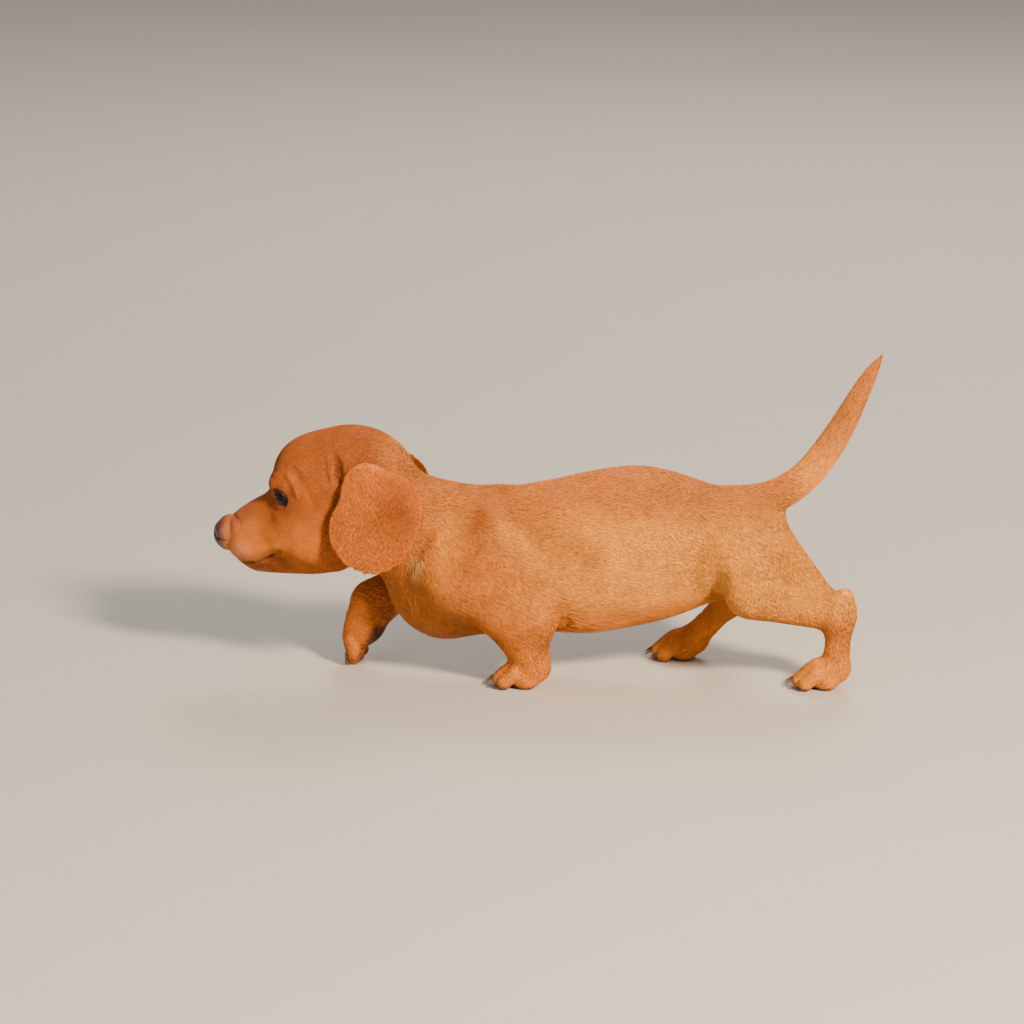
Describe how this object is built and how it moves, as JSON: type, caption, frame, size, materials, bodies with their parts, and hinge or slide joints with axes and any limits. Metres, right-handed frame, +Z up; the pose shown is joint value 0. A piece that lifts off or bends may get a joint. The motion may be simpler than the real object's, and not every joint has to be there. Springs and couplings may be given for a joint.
{
  "type": "dachshund puppy model",
  "caption": "Life-size smooth-haired dachshund puppy, walking with its head low and its tail raised.",
  "frame": {"origin": "on the floor under the middle of the model's bounding box", "axes": "+X towards the tail, -X towards the nose, -Y the animal's left side, +Z up; soles on Z = 0"},
  "size_m": [0.4148, 0.0986, 0.2035],
  "materials": {
    "coat": "short smooth red hair, satin",
    "ear_coat": "short silky red-brown hair",
    "nose_leather": "bare pebbled nose skin, slightly moist",
    "eye": "wet dark slate-blue eye",
    "claw": "smooth brown horn"
  },
  "bodies": {
    "root": {"head": "coat", "muzzle": "coat", "lower_jaw": "coat", "nose": "nose_leather", "eye_left": "eye", "eye_right": "eye", "ear_left": "ear_coat", "ear_right": "ear_coat", "neck": "coat", "chest": "coat", "belly": "coat", "rump": "coat", "tail": "coat", "upper_arm_left": "coat", "upper_arm_right": "coat", "forearm_left": "coat", "forearm_right": "coat", "forepaw_left": "coat", "forepaw_right": "coat", "thigh_left": "coat", "thigh_right": "coat", "shank_left": "coat", "shank_right": "coat", "hindpaw_left": "coat", "hindpaw_right": "coat", "forepaw_left_claw_1": "claw", "forepaw_left_claw_2": "claw", "forepaw_left_claw_3": "claw", "forepaw_left_claw_4": "claw", "forepaw_right_claw_1": "claw", "forepaw_right_claw_2": "claw", "forepaw_right_claw_3": "claw", "forepaw_right_claw_4": "claw", "hindpaw_left_claw_1": "claw", "hindpaw_left_claw_2": "claw", "hindpaw_left_claw_3": "claw", "hindpaw_left_claw_4": "claw", "hindpaw_right_claw_1": "claw", "hindpaw_right_claw_2": "claw", "hindpaw_right_claw_3": "claw", "hindpaw_right_claw_4": "claw"}
  },
  "joints": []
}
